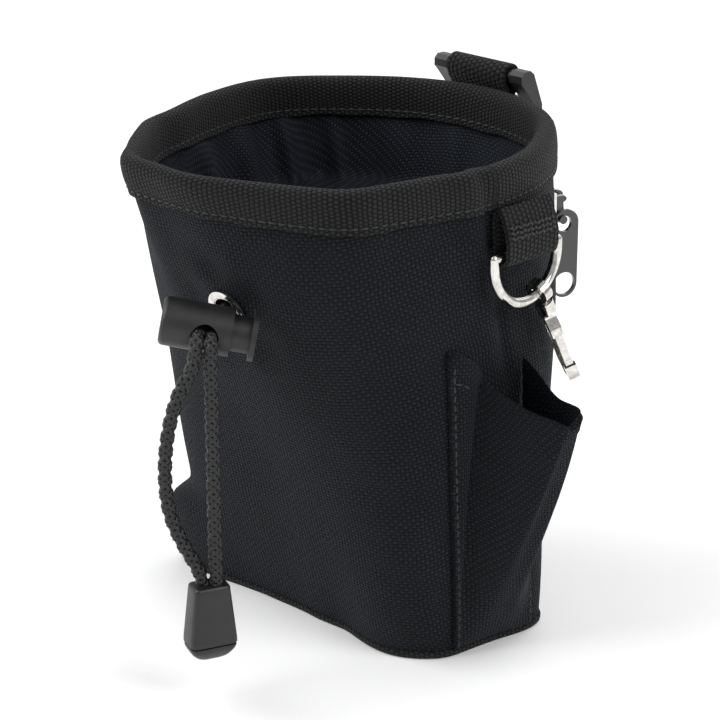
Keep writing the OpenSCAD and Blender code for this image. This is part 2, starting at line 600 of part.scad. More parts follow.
// a point of the webbing seen from the side, n layers off the rim's tape
function tab_pt(z, n) = [mid_y(z) + half_d(z) + tape_t + 0.3 + n * web_t - clip_y, z - clip_z];
module clip_tab() color(web_c) translate([clip_x - clip_tab_w / 2, clip_y, clip_z]) rotate([90, 0, 90]) {
    difference() {
        cylinder(r = clip_out_r, h = clip_tab_w);
        translate([0, 0, -1]) cylinder(r = clip_in_r, h = clip_tab_w + 2);
        translate([-10, -20, -1]) cube([20, 20, clip_tab_w + 2]);
    }
    linear_extrude(clip_tab_w) polygon([[-clip_out_r, eps], [-clip_in_r, eps], [-clip_in_r, -1.2],
        tab_pt(tab_high, 1), tab_pt(tab_low, 1), tab_pt(tab_low, 0), tab_pt(tab_high, 0), [-clip_out_r, -1]]);
    linear_extrude(clip_tab_w) polygon([[clip_in_r, eps], [clip_out_r, eps], [clip_out_r, -2.4],
        tab_pt(tab_mid, 2), tab_pt(tab_low, 2), tab_pt(tab_low, 0.9), tab_pt(tab_mid, 0.9), [clip_in_r, -1.9]]);
}

// clip: bar and arms seen above the rim, outer leaf and tongue behind the bag
arm_w = (clip_w - clip_tab_w - 2) / 2;
arm_y = 5;
arm_z = -10;
tongue_w = 24;
leaf_y = arm_y + clip_t + belt_gap;
arm_out = 7.5;
module clip_side(x, w, pts) translate([x, 0, 0]) rotate([90, 0, 90]) linear_extrude(w) polygon(pts);
module clip_bridge(w, y0, y1) clip_side(-w / 2, w, [[y0, arm_z - 3], [y0, arm_z], [y1, arm_z], [y1, arm_z - 3]]);
module clip_leaf(y, drop)
    clip_side(-tongue_w / 2, tongue_w, [[y, -drop], [y, arm_z - 2.5], [y + clip_t, arm_z - 2.5], [y + clip_t, -drop]]);
module belt_clip() color(plastic_c) translate([clip_x, clip_y, clip_z]) {
    rotate([0, 90, 0]) cylinder(d = clip_bar_d, h = clip_w - 2, center = true);
    for (x = [-clip_w / 2, clip_w / 2 - arm_w])
        clip_side(x, arm_w, [[-2.3, -1.2], [-2.3, 1], [-1, 2.3], [1.8, 2.3], [3.4, 1], [arm_out, arm_z + 1],
            [arm_out, arm_z - 3], [arm_y, arm_z - 3], [arm_y, arm_z], [0.2, -4]]);
    clip_bridge(clip_w, arm_y, arm_out);
    clip_bridge(tongue_w, arm_out - eps, leaf_y + clip_t);
    clip_leaf(arm_y, clip_drop - 2);
    clip_leaf(leaf_y, clip_drop);
}

front_panel();
back_panel();
base_panel();
lining();
rim_binding();
base_binding();
side_pocket();
zip_facing();
zip_pocket_panel();
zip_tape_upper();
zip_tape_lower();
zip_coil_upper();
zip_coil_lower();
zip_stop_left();
zip_stop_right();
zip_slider();
zip_link();
zip_pull();
dring_tab();
d_ring();
snap_eye();
snap_body();
snap_gate();
snap_pin();
eyelet();
eyelet_washer();
draw_cord();
lock_barrel();
lock_plunger();
lock_spring();
cord_strand_left();
cord_strand_right();
cord_knot();
cord_end();
cord_end_cap();
clip_tab();
belt_clip();
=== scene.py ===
"""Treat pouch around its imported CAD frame. Lengths in the maker functions are millimetres in the row frame;
make() turns them into metres."""
import json
import math

import bpy
import numpy as np
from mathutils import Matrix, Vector

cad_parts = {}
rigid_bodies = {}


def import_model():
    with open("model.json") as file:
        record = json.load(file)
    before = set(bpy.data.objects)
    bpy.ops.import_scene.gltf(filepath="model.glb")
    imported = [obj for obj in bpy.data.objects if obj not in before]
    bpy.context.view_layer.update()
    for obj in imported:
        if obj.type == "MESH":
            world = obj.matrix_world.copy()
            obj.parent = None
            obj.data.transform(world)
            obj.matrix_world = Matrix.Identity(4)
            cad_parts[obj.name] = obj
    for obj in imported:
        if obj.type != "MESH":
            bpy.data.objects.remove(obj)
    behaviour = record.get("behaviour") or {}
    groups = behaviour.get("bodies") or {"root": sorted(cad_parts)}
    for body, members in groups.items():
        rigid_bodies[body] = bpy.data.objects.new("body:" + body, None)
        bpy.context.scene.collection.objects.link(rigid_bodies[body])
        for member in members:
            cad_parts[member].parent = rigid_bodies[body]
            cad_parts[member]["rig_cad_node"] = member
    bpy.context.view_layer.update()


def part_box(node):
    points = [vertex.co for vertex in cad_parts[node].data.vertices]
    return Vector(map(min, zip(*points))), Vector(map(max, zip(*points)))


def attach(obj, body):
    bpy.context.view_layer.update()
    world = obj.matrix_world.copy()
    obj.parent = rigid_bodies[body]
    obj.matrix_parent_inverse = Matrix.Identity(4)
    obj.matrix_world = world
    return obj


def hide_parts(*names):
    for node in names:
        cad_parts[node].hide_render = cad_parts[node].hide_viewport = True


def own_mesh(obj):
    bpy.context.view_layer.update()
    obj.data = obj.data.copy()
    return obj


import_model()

MM = 0.001


def near(node):
    """Lowest and highest corner of a CAD node, in millimetres."""
    return [np.array(corner) * 1000 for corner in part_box(node)]


# ---------------------------------------------------------------- camera
AZIMUTH, ELEVATION, DISTANCE, LENS = 44.7, 20.6, 750.0, 123.75
TARGET = np.array([-5.9, 0.0, 73.9])
az, el = math.radians(AZIMUTH), math.radians(ELEVATION)
away = np.array([math.sin(az) * math.cos(el), -math.cos(az) * math.cos(el), math.sin(el)])
camera = bpy.data.objects.new("camera", bpy.data.cameras.new("camera"))
bpy.context.scene.collection.objects.link(camera)
camera.location = (TARGET + away * DISTANCE) * MM
camera.rotation_euler = Vector(-away).to_track_quat("-Z", "Y").to_euler()
camera.data.lens = LENS
camera.data.sensor_width = 36
camera.data.clip_start = 0.01
bpy.context.scene.camera = camera
bpy.context.scene.view_settings.view_transform = "Standard"


# ---------------------------------------------------------------- materials
def put(nt, value, socket):
    if isinstance(value, bpy.types.NodeSocket):
        nt.links.new(value, socket)
    else:
        socket.default_value = value


def calc(nt, operation, *values):
    node = nt.nodes.new("ShaderNodeMath")
    node.operation = operation
    for value, socket in zip(values, node.inputs):
        put(nt, value, socket)
    return node.outputs[0]


def noise(nt, vector, scale, detail=3.0):
    node = nt.nodes.new("ShaderNodeTexNoise")
    put(nt, vector, node.inputs["Vector"])
    node.inputs["Scale"].default_value = scale
    node.inputs["Detail"].default_value = detail
    return node.outputs["Fac"]


def specks(nt, vector, scale, size):
    """1 in small round dots that lie about 1/scale apart, else 0."""
    node = nt.nodes.new("ShaderNodeTexVoronoi")
    put(nt, vector, node.inputs["Vector"])
    node.inputs["Scale"].default_value = scale
    return calc(nt, "LESS_THAN", node.outputs["Distance"], size)


def ramp(nt, value, stops):
    node = nt.nodes.new("ShaderNodeValToRGB")
    put(nt, value, node.inputs["Fac"])
    elements = node.color_ramp.elements
    while len(elements) < len(stops):
        elements.new(0.5)
    for element, (place, colour) in zip(elements, stops):
        element.position = place
        element.color = (*colour, 1)
    return node.outputs["Color"]


def new_material(name):
    mat = bpy.data.materials.new(name)
    mat.use_nodes = True
    nt = mat.node_tree
    return mat, nt, nt.nodes["Principled BSDF"]


def bump(nt, shader, height, depth_mm, strength=1.0):
    node = nt.nodes.new("ShaderNodeBump")
    put(nt, height, node.inputs["Height"])
    node.inputs["Distance"].default_value = depth_mm * MM
    node.inputs["Strength"].default_value = strength
    nt.links.new(node.outputs["Normal"], shader.inputs["Normal"])


def fabric_uv(nt, wander):
    """Cloth coordinates in millimetres, which wander a little as real yarns do, and the vector itself."""
    node = nt.nodes.new("ShaderNodeAttribute")
    node.attribute_name = "fabric"
    split = nt.nodes.new("ShaderNodeSeparateXYZ")
    nt.links.new(node.outputs["Vector"], split.inputs[0])
    drift = calc(nt, "MULTIPLY", calc(nt, "SUBTRACT", noise(nt, node.outputs["Vector"], 0.09, 2), 0.5), wander)
    u = calc(nt, "ADD", split.outputs[0], drift)
    v = calc(nt, "ADD", split.outputs[1], drift)
    return u, v, node.outputs["Vector"]


def woven(name, stops, pitch, depth_mm, rough=0.8, sheen=0.05, tint=(0.6, 0.68, 0.8), rib=False, wander=2.4):
    """Cloth: plain weave of thick yarns, or with rib=True webbing whose ribs lie in a brick pattern. Its colour follows
    the yarn height: painted highlight on the yarn tops and painted shade in the grooves.
    """
    mat, nt, shader = new_material(name)
    u, v, vector = fabric_uv(nt, wander)
    across = calc(nt, "DIVIDE", u, pitch[0])
    along = calc(nt, "DIVIDE", v, pitch[1])
    if rib:
        along = calc(nt, "ADD", along, calc(nt, "MULTIPLY", calc(nt, "FLOOR", across), 0.5))
    a = calc(nt, "SINE", calc(nt, "MULTIPLY", across, math.pi))
    b = calc(nt, "SINE", calc(nt, "MULTIPLY", along, math.pi))
    product = calc(nt, "MULTIPLY", a, b)
    yarn = calc(nt, "POWER", calc(nt, "ABSOLUTE", product), 0.55)
    if rib:
        height = yarn
    else:
        over = calc(nt, "MULTIPLY_ADD", calc(nt, "GREATER_THAN", product, 0.0), 0.42, 0.58)
        height = calc(nt, "MULTIPLY", yarn, over)
    fibre = noise(nt, vector, 5.5, 4)
    height = calc(nt, "MULTIPLY_ADD", fibre, 0.22, height)
    broad = noise(nt, vector, 0.045, 3)
    # The yarn height also sets the colour. Yarn tops, and over-yarns most of all, get painted highlight, and the
    # grooves between yarns get painted shade. Broad noise adds random tone, and the specks below add real lint.
    shade = calc(nt, "MULTIPLY_ADD", calc(nt, "SUBTRACT", broad, 0.5), 0.35, height)
    lint = calc(nt, "MULTIPLY", specks(nt, vector, 0.055, 0.018), 0.35)
    shade = calc(nt, "ADD", shade, lint)
    put(nt, ramp(nt, shade, stops), shader.inputs["Base Color"])
    put(nt, calc(nt, "MULTIPLY_ADD", fibre, 0.2, rough - 0.12), shader.inputs["Roughness"])
    shader.inputs["Sheen Weight"].default_value = sheen
    shader.inputs["Sheen Roughness"].default_value = 0.45
    shader.inputs["Sheen Tint"].default_value = (*tint, 1)
    shader.inputs["Specular IOR Level"].default_value = 0.17
    shader.inputs["Specular Tint"].default_value = (*tint, 1)
    bump(nt, shader, height, depth_mm)
    return mat


def object_point(nt):
    """Object coordinates in millimetres."""
    node = nt.nodes.new("ShaderNodeTexCoord")
    scale = nt.nodes.new("ShaderNodeVectorMath")
    scale.operation = "SCALE"
    scale.inputs["Scale"].default_value = 1000
    nt.links.new(node.outputs["Object"], scale.inputs[0])
    return scale.outputs[0]


def moulded(name, stops, rough, grain_mm, coat=0.0):
    """Moulded or lacquered plastic with a fine skin, handling marks and a trace of dust."""
    mat, nt, shader = new_material(name)
    point = object_point(nt)
    wear = noise(nt, point, 0.16, 5)
    dust = calc(nt, "MULTIPLY", specks(nt, point, 0.5, 0.07), 0.4)
    put(nt, ramp(nt, calc(nt, "ADD", wear, dust), stops), shader.inputs["Base Color"])
    put(nt, calc(nt, "MULTIPLY_ADD", noise(nt, point, 0.5, 5), 0.2, rough - 0.1), shader.inputs["Roughness"])
    shader.inputs["Coat Weight"].default_value = coat
    shader.inputs["Coat Roughness"].default_value = 0.08
    bump(nt, shader, noise(nt, point, 4.5, 3), grain_mm)
    return mat


def plated(name):
    """Bright nickel with hairline marks."""
    mat, nt, shader = new_material(name)
    point = object_point(nt)
    cloud = noise(nt, point, 0.6, 5)
    put(nt, ramp(nt, cloud, [(0.3, (0.50, 0.48, 0.45)), (0.7, (0.74, 0.72, 0.69))]), shader.inputs["Base Color"])
    put(nt, calc(nt, "MULTIPLY_ADD", noise(nt, point, 2.2, 6), 0.14, 0.06), shader.inputs["Roughness"])
    shader.inputs["Metallic"].default_value = 1.0
    bump(nt, shader, noise(nt, point, 0.7, 3), 0.02)
    return mat


def fibrous(name, stops, scale, depth_mm, rough=0.7, sheen=0.1):
    """Yarn of a braid or a sewing thread, where the form itself is in the mesh."""
    mat, nt, shader = new_material(name)
    point = object_point(nt)
    fibre = noise(nt, point, scale, 4)
    put(nt, ramp(nt, fibre, stops), shader.inputs["Base Color"])
    put(nt, calc(nt, "MULTIPLY_ADD", fibre, 0.25, rough - 0.12), shader.inputs["Roughness"])
    shader.inputs["Sheen Weight"].default_value = sheen
    shader.inputs["Sheen Tint"].default_value = (0.7, 0.75, 0.85, 1)
    bump(nt, shader, fibre, depth_mm)
    return mat


def grey(level, blue=1.15):
    return (level, level * (1 + (blue - 1) * 0.4), level * blue)


outer_cloth = woven("outer_cloth", [(0.1, grey(0.0006)), (0.45, grey(0.0024, 1.15)), (1.05, grey(0.013, 1.2))],
                    (1.25, 1.05), 0.62)
tape_cloth = woven("tape_cloth", [(0.15, grey(0.0008, 1.0)), (0.55, grey(0.0042, 1.05)), (1.1, grey(0.02, 1.05))],
                   (1.5, 1.15), 0.55, rough=0.86, sheen=0.06, tint=(0.75, 0.75, 0.75), rib=True, wander=1.4)
strap_cloth = woven("strap_cloth", [(0.15, grey(0.0008, 1.0)), (0.55, grey(0.0042, 1.05)), (1.1, grey(0.02, 1.05))],
                    (1.7, 1.35), 0.75, rough=0.84, sheen=0.06, tint=(0.75, 0.75, 0.75), rib=True, wander=1.0)
lining_cloth = woven("lining_cloth", [(0.1, grey(0.0008, 1.2)), (0.5, grey(0.004, 1.3)), (1.05, grey(0.02, 1.35))],
                     (0.95, 0.95), 0.16, rough=0.62, sheen=0.05, tint=(0.6, 0.7, 0.95))
plastic = moulded("black_plastic", [(0.3, grey(0.004, 1.05)), (0.7, grey(0.009, 1.05)), (1.0, grey(0.03, 1.0))],
                  0.44, 0.04)
enamel = moulded("black_enamel", [(0.3, grey(0.003, 1.0)), (0.75, grey(0.007, 1.0)), (1.0, grey(0.04, 1.0))],
                 0.2, 0.015, coat=0.6)
nickel = plated("nickel")
cord_yarn = fibrous("cord_yarn", [(0.3, grey(0.0006, 1.0)), (0.75, grey(0.005, 1.05))], 3.0, 0.08, 0.5, 0.04)
thread_yarn = fibrous("thread_yarn", [(0.3, grey(0.002, 1.0)), (0.75, grey(0.011, 1.05))], 4.0, 0.06, 0.6)


# ---------------------------------------------------------------- meshes
def make(name, verts, faces, mat, body, replaces=(), fabric=None, smooth=True):
    me = bpy.data.meshes.new(name)
    me.from_pydata((np.asarray(verts, float) * MM).tolist(), [], faces)
    if fabric is not None:
        flat = np.column_stack([np.asarray(fabric, float), np.zeros(len(fabric))])
        me.attributes.new("fabric", "FLOAT_VECTOR", "POINT").data.foreach_set("vector", flat.ravel())
    me.polygons.foreach_set("use_smooth", [smooth] * len(me.polygons))
    me.materials.append(mat)
    piece = bpy.data.objects.new(name, me)
    bpy.context.scene.collection.objects.link(piece)
    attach(piece, body)
    if replaces:
        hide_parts(*replaces)
    return piece


def lengths(grid, middle=False):
    """Arc length along each row (u) and up each column (v) of a grid of points."""
    du = np.linalg.norm(np.diff(grid, axis=1), axis=2)
    dv = np.linalg.norm(np.diff(grid, axis=0), axis=2)
    u = np.hstack([np.zeros((len(grid), 1)), np.cumsum(du, axis=1)])
    v = np.vstack([np.zeros((1, grid.shape[1])), np.cumsum(dv, axis=0)])
    if middle:
        u = u - u[:, [grid.shape[1] // 2]]
    return np.stack([u, v], axis=2).reshape(-1, 2)


def slab(outer, inner, wrap=False):
    """Vertices and faces of a closed sheet between two grids; rows go up and columns anticlockwise."""
    rows, cols = outer.shape[:2]
    n = rows * cols
    at = np.arange(n).reshape(rows, cols)
    faces = []
    for j in range(cols if wrap else cols - 1):
        k = (j + 1) % cols
        for i in range(rows - 1):
            a, b, c, d = (int(x) for x in (at[i, j], at[i, k], at[i + 1, k], at[i + 1, j]))
            faces += [(a, b, c, d), (a + n, d + n, c + n, b + n)]
        a, b, c, d = (int(x) for x in (at[-1, j], at[-1, k], at[0, j], at[0, k]))
        faces += [(a, b, b + n, a + n), (d, c, c + n, d + n)]
    if not wrap:
        for i in range(rows - 1):
            a, b, c, d = (int(x) for x in (at[i, 0], at[i + 1, 0], at[i, -1], at[i + 1, -1]))
            faces += [(a, b, b + n, a + n), (d, c, c + n, d + n)]
    return np.concatenate([outer.reshape(-1, 3), inner.reshape(-1, 3)]), faces


def band(grid):
    """Faces of a ring whose rows are the points of a closed section and whose columns run all the way round."""
    rows, cols = grid.shape[:2]
    faces = []
    for i in range(rows):
        for j in range(cols):
            k, m = (j + 1) % cols, (i + 1) % rows
            faces.append((i * cols + j, i * cols + k, m * cols + k, m * cols + j))
    return grid.reshape(-1, 3), faces


def fine(points, step):
    """A smooth line through the points, resampled about step apart."""
    p = np.asarray(points, float)
    ends = np.vstack([2 * p[0] - p[1], p, 2 * p[-1] - p[-2]])
    out = []
    for i in range(1, len(ends) - 2):
        p0, p1, p2, p3 = ends[i - 1:i + 3]
        t = np.linspace(0, 1, 12, endpoint=False)[:, None]
        out.append(0.5 * (2 * p1 + (p2 - p0) * t + (2 * p0 - 5 * p1 + 4 * p2 - p3) * t ** 2
                          + (3 * p1 - p0 - 3 * p2 + p3) * t ** 3))
    line = np.vstack([*out, p[-1:]])
    along = np.concatenate([[0], np.cumsum(np.linalg.norm(np.diff(line, axis=0), axis=1))])
    at = np.linspace(0, along[-1], max(3, int(along[-1] / step) + 1))
    return np.stack([np.interp(at, along, line[:, k]) for k in range(3)], axis=1)


def frames(path):
    """Tangent and two side directions at each point of a path, carried along without twist."""
    t = np.gradient(path, axis=0)
    t /= np.linalg.norm(t, axis=1)[:, None]
    side = np.cross(t[0], [0.0, 0.0, 1.0] if abs(t[0][2]) < 0.9 else [1.0, 0.0, 0.0])
    sides = []
    for d in t:
        side = side - d * side.dot(d)
        side = side / np.linalg.norm(side)
        sides.append(side)
    sides = np.array(sides)
    return t, sides, np.cross(t, sides)


def tube(path, radius, side, other, around=7):
    """Round yarn along a path with flat ends; side and other are directions across it."""
    turn = np.linspace(0, 2 * math.pi, around, endpoint=False)
    rings = path[:, None] + radius * (np.cos(turn)[None, :, None] * side[:, None] + np.sin(turn)[None, :, None] * other[:, None])
    faces = [(i * around + j, i * around + (j + 1) % around, (i + 1) * around + (j + 1) % around, (i + 1) * around + j)
             for i in range(len(path) - 1) for j in range(around)]
    faces.append(tuple(range(around - 1, -1, -1)))
    faces.append(tuple((len(path) - 1) * around + j for j in range(around)))
    return rings.reshape(-1, 3), faces


def braid(path, radius, lay=8.4, carriers=4, around=7):
    """Braided cord: a core and two sets of yarns which wind opposite ways and pass over and under each other."""
    tangent, side, other = frames(path)
    along = np.concatenate([[0], np.cumsum(np.linalg.norm(np.diff(path, axis=0), axis=1))])
    verts, faces = tube(path, radius * 0.62, side, other, 10)
    verts = [verts]
    count = len(verts[0])
    for sense in (1, -1):
        for i in range(carriers):
            q = sense * (2 * math.pi * along / lay) + 2 * math.pi * (i + 0.25 * sense) / carriers
            over = np.cos(2 * math.pi * carriers * along / lay + math.pi * i + (0 if sense > 0 else math.pi))
            r = radius * (0.72 + 0.13 * over)
            line = path + r[:, None] * (np.cos(q)[:, None] * side + np.sin(q)[:, None] * other)
            across, up = frames(line)[1:]
            v, f = tube(line, radius * 0.36, across, up, around)
            verts.append(v)
            faces += [tuple(k + count for k in face) for face in f]
            count += len(v)
    return np.vstack(verts), faces


def stitches(lines, radius=0.27, long=2.1, pitch=2.9):
    """Sewn stitches along lines; a line is (points on the cloth, outward directions)."""
    verts, faces = [], []
    turn = np.linspace(0, 2 * math.pi, 6, endpoint=False)
    spans = [(-0.5, 0.25), (-0.38, 0.8), (0.0, 1.0), (0.38, 0.8), (0.5, 0.25)]
    for points, normals in lines:
        along = np.concatenate([[0], np.cumsum(np.linalg.norm(np.diff(points, axis=0), axis=1))])
        for s in np.arange(pitch / 2, along[-1] - long / 2, pitch):
            def on(x, values):
                return np.array([np.interp(x, along, values[:, k]) for k in range(3)])
            start, end = on(s - long / 2, points), on(s + long / 2, points)
            out = on(s, normals)
            out = out / np.linalg.norm(out)
            d = end - start
            d = d / np.linalg.norm(d)
            across = np.cross(out, d)
            base = len(verts)
            for place, wide in spans:
                middle = on(s + place * long, points) + out * radius * (0.55 * wide - 0.15)
                for q in turn:
                    verts.append(middle + wide * radius * (math.cos(q) * across * 1.2 + math.sin(q) * out))
            for i in range(len(spans) - 1):
                for j in range(6):
                    k = (j + 1) % 6
                    faces.append((base + i * 6 + j, base + i * 6 + k, base + (i + 1) * 6 + k, base + (i + 1) * 6 + j))
            faces.append(tuple(base + j for j in range(5, -1, -1)))
            faces.append(tuple(base + 24 + j for j in range(6)))
    return np.array(verts), faces


# ---------------------------------------------------------------- the cloth body
RIM_H, MOUTH_W, MOUTH_D, FORWARD, FOOT_W, FOOT_D = 150.0, 116.0, 130.0, 13.0, 100.0, 49.0
EYELET = np.array([5.0, -63.02, 108.0])
FRONT_SLOPE = math.atan((FORWARD + (MOUTH_D - FOOT_D) / 2) / RIM_H)
TAPE_LOW = 138.0


def hill(x, centre, width):
    """Smooth bump of height 1 in an angle."""
    return np.exp(-(((x - centre + 180) % 360 - 180) / width) ** 2)


def rise(x, low, high):
    t = np.clip((x - low) / (high - low), 0, 1)
    return t * t * (3 - 2 * t)


def reach(a, z, o):
    k = z / RIM_H
    n = 5 - 3 * k
    half_w = (FOOT_W + (MOUTH_W - FOOT_W) * k) / 2 + o
    half_d = (FOOT_D + (MOUTH_D - FOOT_D) * k) / 2 + o
    return ((np.abs(np.cos(a)) / half_w) ** n + (np.abs(np.sin(a)) / half_d) ** n) ** (-1 / n)


def settle(a, z):
    """How far the used cloth stands out from its plain form at angle a (degrees) and height z."""
    upper, high = rise(z, 85, 150), rise(z, 126, 150)
    out = (4.6 * hill(a, 157, 19) - 2.3 * hill(a, 200, 14) - 2.0 * hill(a, 42, 18) + 3.4 * hill(a, 250, 8) - 2.6 * hill(a, 288, 14)
           + 2.8 * hill(a, 316, 9) - 1.6 * hill(a, 343, 12)) * upper - 2.6 * hill(a, 78, 14) * high
    out = out + (3.4 - 5.6 * rise(z, 20, 95)) * hill(a, 222, 26)
    lobe = 1 / (1 + np.exp((z - 27) / 2.4))
    out = out + 12.5 * hill(a, 204, 15) * lobe + 0.9 * hill(a, 214, 7) * rise(z, 118, 146)
    low = 1 - rise(z, 0, 62)
    out = out + (7.2 * hill(a, 319, 15) + 3.2 * hill(a, 276, 32) + 3.6 * hill(a, 17, 17)) * low
    crease = -3 + 8 * (TAPE_LOW - z) / 44
    side = rise(z, 78, 100)
    out = out + side * (-0.9 * hill(a, crease, 2.2) + 0.7 * hill(a, crease - 6, 4))
    out = out + 0.22 * np.sin(np.radians(a * 5 + z * 0.9)) + 0.14 * np.sin(np.radians(a * 9 - z * 1.9 + 40))
    # sags in the lower front, and soft dents below the rim where a hand holds it
    out = out - 0.8 * hill(a, 262, 16) * np.exp(-((z - 62) / 20) ** 2)
    out = out - 0.5 * hill(a, 303, 10) * np.exp(-((z - 88) / 26) ** 2)
    zip_area = hill(a, 90, 26) * rise(z, 100, 116)
    return out * (1 - 0.9 * zip_area)


def cloth(a, z, o):
    """Points of the cloth body at angles a and heights z, o outside its outer face."""
    a, z = np.broadcast_arrays(np.asarray(a, float), np.asarray(z, float))
    t = np.radians(a)
    plain = reach(t, z, o)
    x, y = plain * np.cos(t), -FORWARD * z / RIM_H + plain * np.sin(t)
    away = np.sqrt((x - EYELET[0]) ** 2 + (y - EYELET[1]) ** 2 + (z - EYELET[2]) ** 2)
    turn = np.arctan2(z - EYELET[2], x - EYELET[0])
    free = 1 - np.exp(-(away / 13) ** 4)
    pucker = 0.55 * np.cos(5 * turn + 0.6) * np.exp(-((away - 15) / 6) ** 2) - 0.8 * np.exp(-((away - 12) / 6) ** 2)
    r = plain + settle(a, z) * free + pucker
    return np.stack([r * np.cos(t), -FORWARD * z / RIM_H + r * np.sin(t), z], axis=-1)


def sheet_grid(zs, angles, o):
    a, z = np.meshgrid(angles, zs)
    return cloth(a, z, o)


def outward(a, z):
    """Outward directions of the cloth."""
    a, z = np.broadcast_arrays(np.asarray(a, float), np.asarray(z, float))
    along = cloth(a + 0.5, z, 0) - cloth(a - 0.5, z, 0)
    up = cloth(a, z + 0.5, 0) - cloth(a, z - 0.5, 0)
    n = np.cross(along, up)
    return n / np.linalg.norm(n, axis=-1)[..., None]


def on_cloth(a, z, o):
    """A line on the cloth and its outward directions."""
    a, z = np.broadcast_arrays(np.asarray(a, float), np.asarray(z, float))
    return cloth(a, z, o), outward(a, z)


# ---------------------------------------------------------------- body panels
rows = np.concatenate([[0.6, 1.2], np.arange(2.5, 147, 1.7), [147.5, 148.6]])
front_angles = np.arange(140.05, 400, 0.9)
outer = sheet_grid(rows, front_angles, 0)
verts, faces = slab(outer, sheet_grid(rows, front_angles, -1.3))
axis = np.array([0, -math.cos(FRONT_SLOPE), -math.sin(FRONT_SLOPE)])
gap = verts - EYELET
depth = gap @ axis
radial = np.linalg.norm(gap - depth[:, None] * axis, axis=1)
hole = (radial < 5.0) & (np.abs(depth) < 6)
faces = [f for f in faces if not hole[list(f)].any()]
uv = lengths(outer, middle=True)
front_cloth = make("front_cloth", verts, faces, outer_cloth, "bag", ["front_panel"],
                   np.concatenate([uv, uv]))

back_angles = np.arange(40.05, 140, 0.9)
outer = sheet_grid(rows, back_angles, 0)
verts, faces = slab(outer, sheet_grid(rows, back_angles, -1.3))
uv = lengths(outer, middle=True)
back_cloth = make("back_cloth", verts, faces, outer_cloth, "bag", ["back_panel"],
                  np.concatenate([uv, uv]))

all_angles = np.arange(0, 360, 1.0)


def disc(z_rim, z_middle, o):
    a = np.degrees(np.radians(all_angles))
    edge = cloth(a, 0.6, o)
    out = []
    for k in (0.03, 0.25, 0.5, 0.75, 0.9, 0.97, 1.0):
        ring = edge * k
        ring[:, 2] = z_middle + (z_rim - z_middle) * k ** 6
        out.append(ring)
    return np.array(out)


outer = disc(0.35, 1.3, -0.4)[::-1]
verts, faces = slab(outer[::-1], outer[::-1] + [0, 0, 1.2], wrap=True)
base_cloth = make("base_cloth", verts, [f[::-1] for f in faces], outer_cloth, "bag", ["base_panel"], verts[:, :2])


def lining_offset(z):
    """The lining's outer face, with the cord's channel."""
    plain = -2.4 + 0.5 * rise(z, 119, 138)
    return plain - 5.6 * rise(z, 97, 104) * (1 - rise(z, 112, 119))


def folds(a, z):
    """Vertical folds of the loose lining, inwards."""
    deep = rise(z, 25, 110)
    out = 0
    for centre, width, depth in ((168, 4.5, 3.4), (153, 3.2, 3.0), (139, 2.4, 1.6), (120, 6, 1.6), (187, 5, 2.6),
                                 (208, 5, 1.6), (232, 5, 1.2), (101, 4, 1.4), (72, 5, 1.4), (50, 5, 1.6),
                                 (330, 5, 1.0), (300, 5, 0.9), (15, 5, 0.9)):
        lean = centre + 3 * np.sin(np.radians(z * 1.7 + centre))
        out = out + depth * hill(a, lean, width)
    return out * deep * (1 - rise(z, 128, 146)) + 0.4 * np.sin(np.radians(a * 7 + z * 2)) ** 2


def lining_grid(extra):
    zs = np.concatenate([[2.6, 4, 6, 9], np.arange(12, 148, 2.2), [148.6]])
    a, z = np.meshgrid(all_angles, zs)
    wall = cloth(a, z, lining_offset(z) - extra - folds(a, z))
    floor = []
    for k in (0.03, 0.3, 0.6, 0.85, 0.96):
        ring = wall[0] * k
        ring[:, 2] = 2.6 + extra
        floor.append(ring)
    wall[0, :, 2] += extra * 0.7
    return np.concatenate([np.array(floor), wall])


outer = lining_grid(0)
verts, faces = slab(outer, lining_grid(0.7), wrap=True)
uv = lengths(outer)
lining_piece = make("lining_cloth_piece", verts, faces, lining_cloth, "bag", ["lining"],
                    np.concatenate([uv, uv]))


# ---------------------------------------------------------------- edge tapes
def tape_ring(name, section, node, wave):
    a = all_angles
    ringlets = []
    for o, z in section:
        lift = wave * (np.sin(np.radians(a * 11)) * 0.5 + np.sin(np.radians(a * 23 + 50)) * 0.5)
        ringlets.append(cloth(a, z + lift * (1 - rise(z, TAPE_LOW, TAPE_LOW + 5) if z > 100 else 1), o))
    grid = np.array(ringlets)
    verts, faces = band(grid)
    around = np.concatenate([[0], np.cumsum(np.linalg.norm(np.diff(grid[2], axis=0), axis=1))])
    up = np.concatenate([[0], np.cumsum(np.linalg.norm(np.diff(grid[:, 0], axis=0), axis=1))])
    u, v = np.meshgrid(around, up)
    return make(name, verts, faces, tape_cloth, "bag", [node], np.stack([u, v], axis=2).reshape(-1, 2))


rim_section = [(0.15, 138.4), (0.9, 138.0), (1.35, 138.2), (1.4, 138.9), (1.15, 139.7), (1.2, 140.3), (1.55, 141.4),
               (1.7, 143.2), (1.7, 145.2), (1.6, 147), (1.25, 148.5), (0.5, 149.6), (-0.6, 150.15), (-1.8, 150.3),
               (-3.0, 150.0), (-4.0, 149.1), (-4.6, 147.6), (-4.7, 145.5), (-4.6, 143), (-4.2, 141.2), (-4.05, 140.2),
               (-4.15, 139.4), (-4.4, 138.6), (-4.2, 138.0), (-3.6, 138.2), (-3.5, 141), (-3.4, 146), (-2.6, 148),
               (-0.6, 148), (0.1, 146.5), (0.15, 142)]
rim_tape = tape_ring("rim_tape", rim_section, "rim_binding", 0.35)
hem_section = [(-1.2, 0.1), (-0.4, 0.0), (0.2, 0.05), (0.5, 0.4), (0.6, 1.1), (0.58, 1.8), (0.4, 2.3), (0.15, 2.5),
               (0.0, 2.3), (-0.1, 1.5), (-0.4, 0.7), (-1.2, 0.6)]
hem_tape = tape_ring("hem_tape", hem_section, "base_binding", 0.12)

# ---------------------------------------------------------------- side pocket
POCKET_A0, POCKET_A1, POCKET_LOW = -19.0, 12.5, 3.2


